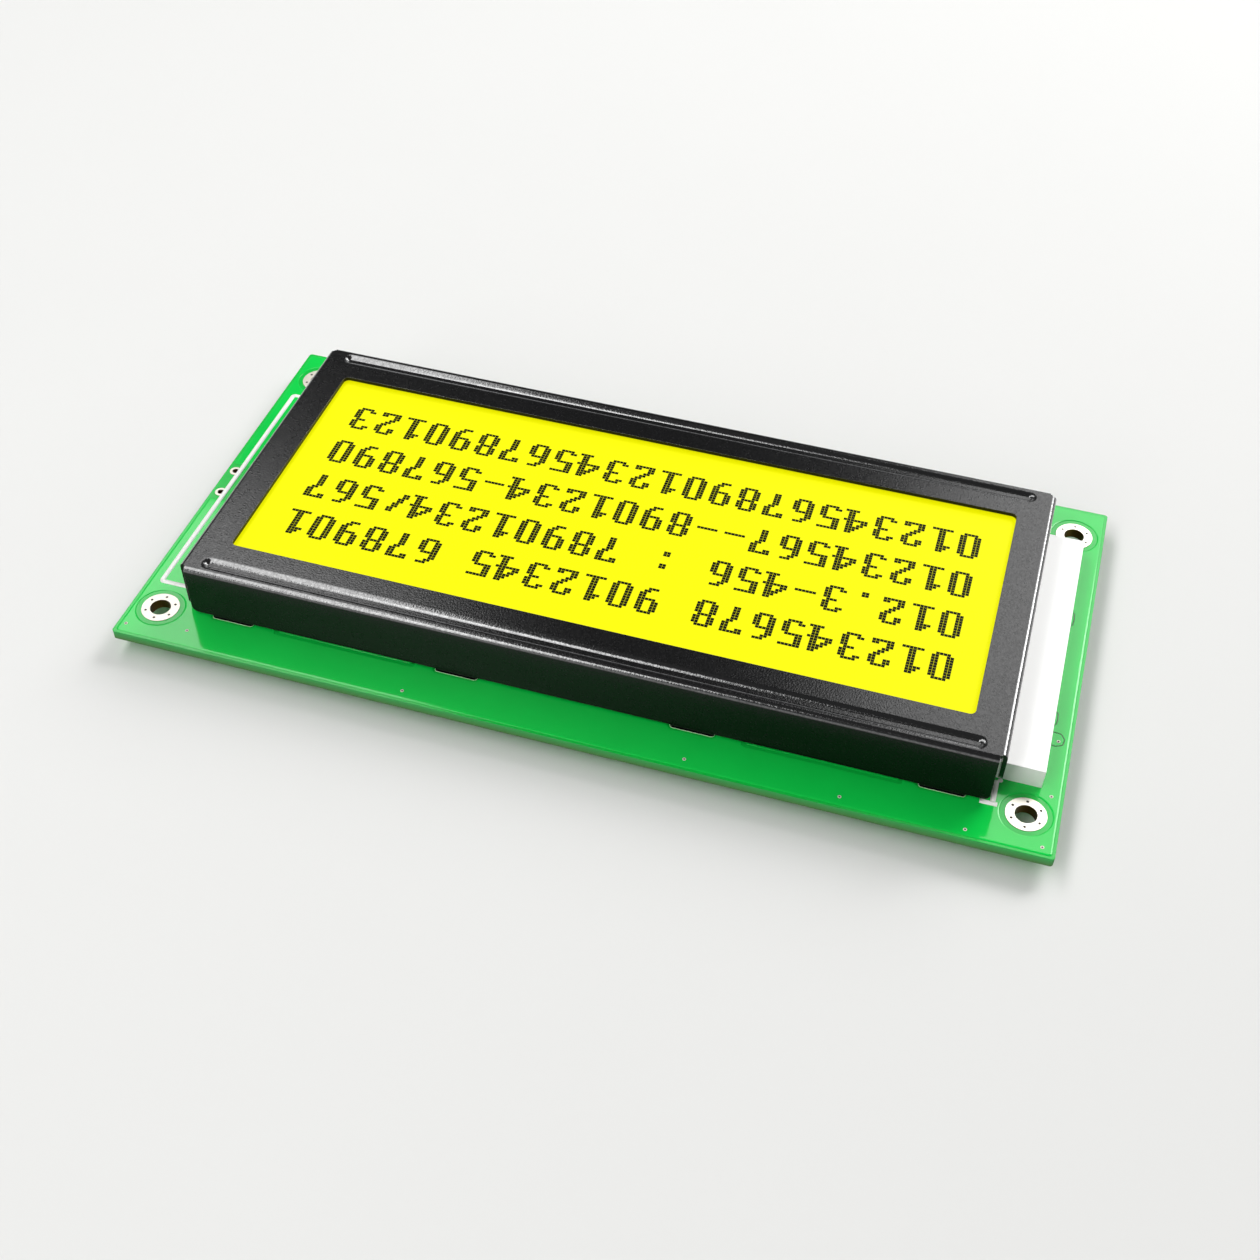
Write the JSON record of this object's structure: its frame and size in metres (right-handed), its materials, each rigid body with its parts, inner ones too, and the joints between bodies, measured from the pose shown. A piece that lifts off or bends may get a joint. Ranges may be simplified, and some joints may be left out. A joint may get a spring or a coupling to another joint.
{
  "type": "graphic lcd module",
  "caption": "Flat display module: green circuit board with a folded black steel bezel around a yellow dot-matrix screen, a white lamp block at one side and plated mounting holes.",
  "frame": {"origin": "under the middle of the circuit board, on the plane of the bezel tabs' tips, on which the module rests", "axes": "+X along the reading direction of the screen, +Y towards the screen's top edge, +Z out of the screen"},
  "size_m": [0.112, 0.057, 0.0105],
  "materials": {
    "board_mask": "glossy green solder mask over glass-epoxy laminate",
    "tinned_copper": "hot-tinned copper plating, satin",
    "painted_steel": "black baked enamel on pressed steel, fine satin grain",
    "screen_film": "yellow lit screen film, smooth satin",
    "cell_glass": "clear float glass",
    "rear_film": "polariser film",
    "seal_resin": "cured clear resin bead",
    "contact_rubber": "layered silicone rubber",
    "white_housing": "white moulded polycarbonate, fine matte",
    "clear_acrylic": "clear acrylic",
    "white_film": "white polyester film",
    "lamp_board": "thin glass-epoxy strip",
    "lamp_package": "moulded lamp package with resin fill",
    "tinned_pin": "tinned wire",
    "black_epoxy": "black potting epoxy, semi-gloss",
    "resistor_body": "ceramic chip with a glass overcoat and tinned ends",
    "capacitor_body": "ceramic chip with tinned ends"
  },
  "bodies": {
    "root": {"circuit_board": "board_mask", "mounting_hole_plating": "tinned_copper", "signal_hole_plating": "tinned_copper", "lamp_hole_plating": "tinned_copper", "bezel": "painted_steel", "front_polariser": "screen_film", "front_glass": "cell_glass", "rear_glass": "cell_glass", "rear_polariser": "rear_film", "filling_port_seal": "seal_resin", "upper_contact_strip": "contact_rubber", "lower_contact_strip": "contact_rubber", "backlight_housing": "white_housing", "light_guide": "clear_acrylic", "reflector_film": "white_film", "diffuser_film": "white_film", "lamp_strip_board": "lamp_board", "lamp_1": "lamp_package", "lamp_2": "lamp_package", "lamp_3": "lamp_package", "lamp_4": "lamp_package", "lamp_5": "lamp_package", "lamp_6": "lamp_package", "lamp_lead_pin_1": "tinned_pin", "lamp_lead_pin_2": "tinned_pin", "chip_epoxy_cap_1": "black_epoxy", "chip_epoxy_cap_2": "black_epoxy", "chip_epoxy_cap_3": "black_epoxy", "chip_epoxy_cap_4": "black_epoxy", "chip_epoxy_cap_5": "black_epoxy", "chip_resistor_1": "resistor_body", "chip_resistor_2": "resistor_body", "chip_resistor_3": "resistor_body", "chip_resistor_4": "resistor_body", "chip_resistor_5": "resistor_body", "chip_resistor_6": "resistor_body", "chip_resistor_7": "resistor_body", "chip_resistor_8": "resistor_body", "chip_capacitor_1": "capacitor_body", "chip_capacitor_2": "capacitor_body", "chip_capacitor_3": "capacitor_body", "chip_capacitor_4": "capacitor_body", "chip_capacitor_5": "capacitor_body", "chip_capacitor_6": "capacitor_body", "chip_capacitor_7": "capacitor_body", "chip_capacitor_8": "capacitor_body"}
  },
  "joints": []
}
